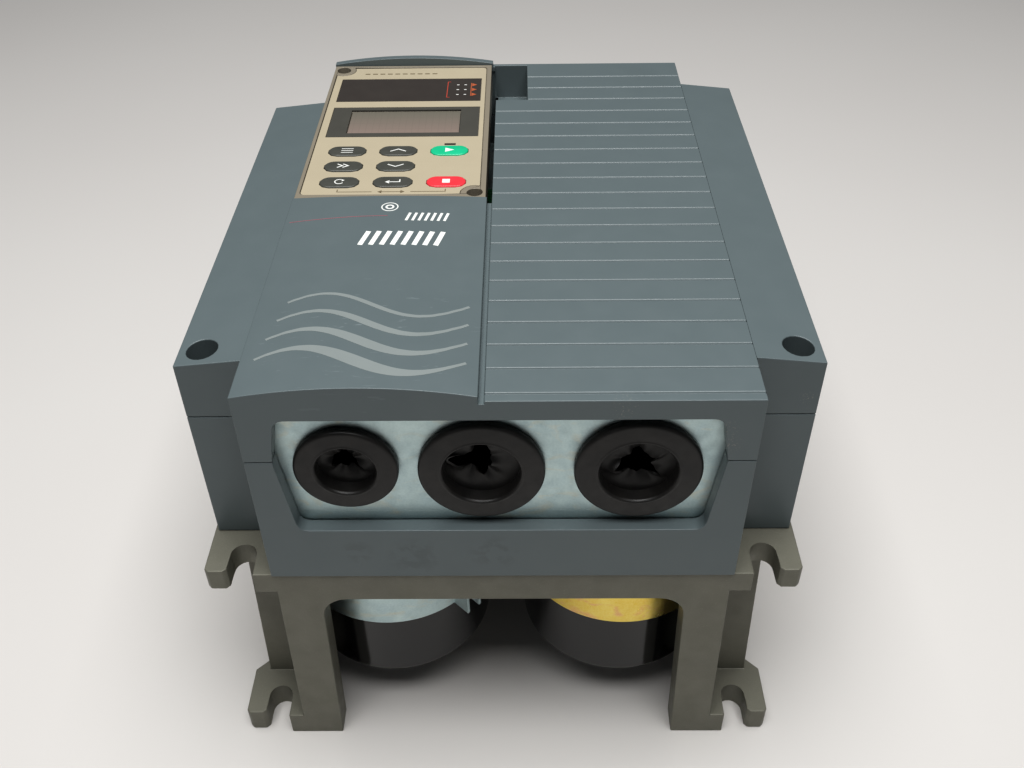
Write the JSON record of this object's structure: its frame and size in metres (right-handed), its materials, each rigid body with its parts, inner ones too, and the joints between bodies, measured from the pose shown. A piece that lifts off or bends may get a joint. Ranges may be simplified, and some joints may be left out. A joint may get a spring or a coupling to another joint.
{
  "type": "variable frequency drive",
  "caption": "Variable frequency drive with keypad, ribbed front cover, cable grommets, die-cast duct with mounting ears, heatsink, capacitors and cooling fans.",
  "frame": {"origin": "under the middle of the drive, on the plane of its mounting feet", "axes": "+Z out of the front cover, -Y out of the cable entry end, +X to the right seen from the front"},
  "size_m": [0.223, 0.26, 0.1965],
  "materials": {
    "cover_plastic": "moulded ABS, slate blue-grey, fine satin texture",
    "cast_aluminium": "die cast aluminium, dark olive-grey powder paint",
    "bare_aluminium": "extruded aluminium, bare",
    "zinc_plate": "sheet steel, clear blue zinc plating",
    "zinc_yellow": "sheet steel, yellow passivated zinc",
    "grommet_rubber": "moulded EPDM, black, slight sheen",
    "can_sleeve": "black shrink sleeve, glossy",
    "keypad_case": "moulded ABS, warm dark grey",
    "keypad_film": "printed polyester film, cream",
    "smoked_window": "smoked acrylic",
    "lcd_surround": "printed polyester film, dark olive",
    "lcd_glass": "display glass, unlit",
    "button_rubber": "silicone rubber, dark grey",
    "button_green": "silicone rubber, green",
    "button_red": "silicone rubber, red",
    "circuit_board": "glass epoxy board, green solder mask",
    "terminal_plastic": "moulded nylon, black",
    "module_plastic": "moulded power module case, light grey",
    "copper_bar": "flat copper, bare",
    "steel_screw": "zinc plated steel",
    "fan_plastic": "glass filled nylon, black",
    "relay_case": "moulded relay case, blue"
  },
  "bodies": {
    "drive": {"cable_entry_plate": "zinc_plate", "cable_grommet_left": "grommet_rubber", "cable_grommet_middle": "grommet_rubber", "cable_grommet_right": "grommet_rubber", "capacitor_clamp_left": "zinc_plate", "capacitor_clamp_right": "zinc_yellow", "charge_relay": "relay_case", "clamp_screw_left": "steel_screw", "clamp_screw_right": "steel_screw", "control_board": "circuit_board", "control_terminal_block": "terminal_plastic", "control_transformer": "terminal_plastic", "control_tray": "zinc_plate", "current_sensor_u": "terminal_plastic", "current_sensor_w": "terminal_plastic", "dc_bar_negative": "copper_bar", "dc_bar_positive": "copper_bar", "dc_capacitor_left": "can_sleeve", "dc_capacitor_right": "can_sleeve", "dc_link_bar": "copper_bar", "fan_frame_left": "fan_plastic", "fan_frame_right": "fan_plastic", "fan_guard_left": "steel_screw", "fan_guard_right": "steel_screw", "front_cover": "cover_plastic", "heatsink": "bare_aluminium", "heatsink_frame": "cast_aluminium", "igbt_module": "module_plastic", "keypad_board": "circuit_board", "keypad_case": "keypad_case", "keypad_connector": "terminal_plastic", "keypad_overlay": "keypad_film", "keypad_screw_lower": "steel_screw", "keypad_screw_upper": "steel_screw", "lcd_module": "lcd_glass", "lcd_surround": "lcd_surround", "led_display": "smoked_window", "led_window": "smoked_window", "main_housing": "cover_plastic", "main_terminal_block": "terminal_plastic", "power_board": "circuit_board", "rectifier_module": "module_plastic", "run_lamp": "button_green", "side_cover_left": "cover_plastic", "side_cover_right": "cover_plastic", "side_cover_screw_left": "steel_screw", "side_cover_screw_right": "steel_screw"},
    "button_data": {"button_data": "button_rubber"},
    "button_down": {"button_down": "button_rubber"},
    "button_program": {"button_program": "button_rubber"},
    "button_reset": {"button_reset": "button_rubber"},
    "button_run": {"button_run": "button_green"},
    "button_shift": {"button_shift": "button_rubber"},
    "button_stop": {"button_stop": "button_red"},
    "button_up": {"button_up": "button_rubber"},
    "fan_rotor_left": {"fan_rotor_left": "fan_plastic"},
    "fan_rotor_right": {"fan_rotor_right": "fan_plastic"}
  },
  "joints": [
    {"name": "button_data_press", "type": "slide", "parent": "drive", "child": "button_data", "axis": [0, 0, -1], "range_m": [0, 0.0005], "stiffness_N_per_m": 1000},
    {"name": "button_down_press", "type": "slide", "parent": "drive", "child": "button_down", "axis": [0, 0, -1], "range_m": [0, 0.0005], "stiffness_N_per_m": 1000},
    {"name": "button_program_press", "type": "slide", "parent": "drive", "child": "button_program", "axis": [0, 0, -1], "range_m": [0, 0.0005], "stiffness_N_per_m": 1000},
    {"name": "button_reset_press", "type": "slide", "parent": "drive", "child": "button_reset", "axis": [0, 0, -1], "range_m": [0, 0.0005], "stiffness_N_per_m": 1000},
    {"name": "button_run_press", "type": "slide", "parent": "drive", "child": "button_run", "axis": [0, 0, -1], "range_m": [0, 0.0005], "stiffness_N_per_m": 1000},
    {"name": "button_shift_press", "type": "slide", "parent": "drive", "child": "button_shift", "axis": [0, 0, -1], "range_m": [0, 0.0005], "stiffness_N_per_m": 1000},
    {"name": "button_stop_press", "type": "slide", "parent": "drive", "child": "button_stop", "axis": [0, 0, -1], "range_m": [0, 0.0005], "stiffness_N_per_m": 1000},
    {"name": "button_up_press", "type": "slide", "parent": "drive", "child": "button_up", "axis": [0, 0, -1], "range_m": [0, 0.0005], "stiffness_N_per_m": 1000},
    {"name": "fan_left_spin", "type": "hinge", "parent": "drive", "child": "fan_rotor_left", "pos_m": [-0.0425, 0.1031, 0.0502], "axis": [0, 1, 0], "continuous": true},
    {"name": "fan_right_spin", "type": "hinge", "parent": "drive", "child": "fan_rotor_right", "pos_m": [0.0425, 0.1031, 0.0502], "axis": [0, 1, 0], "continuous": true}
  ]
}
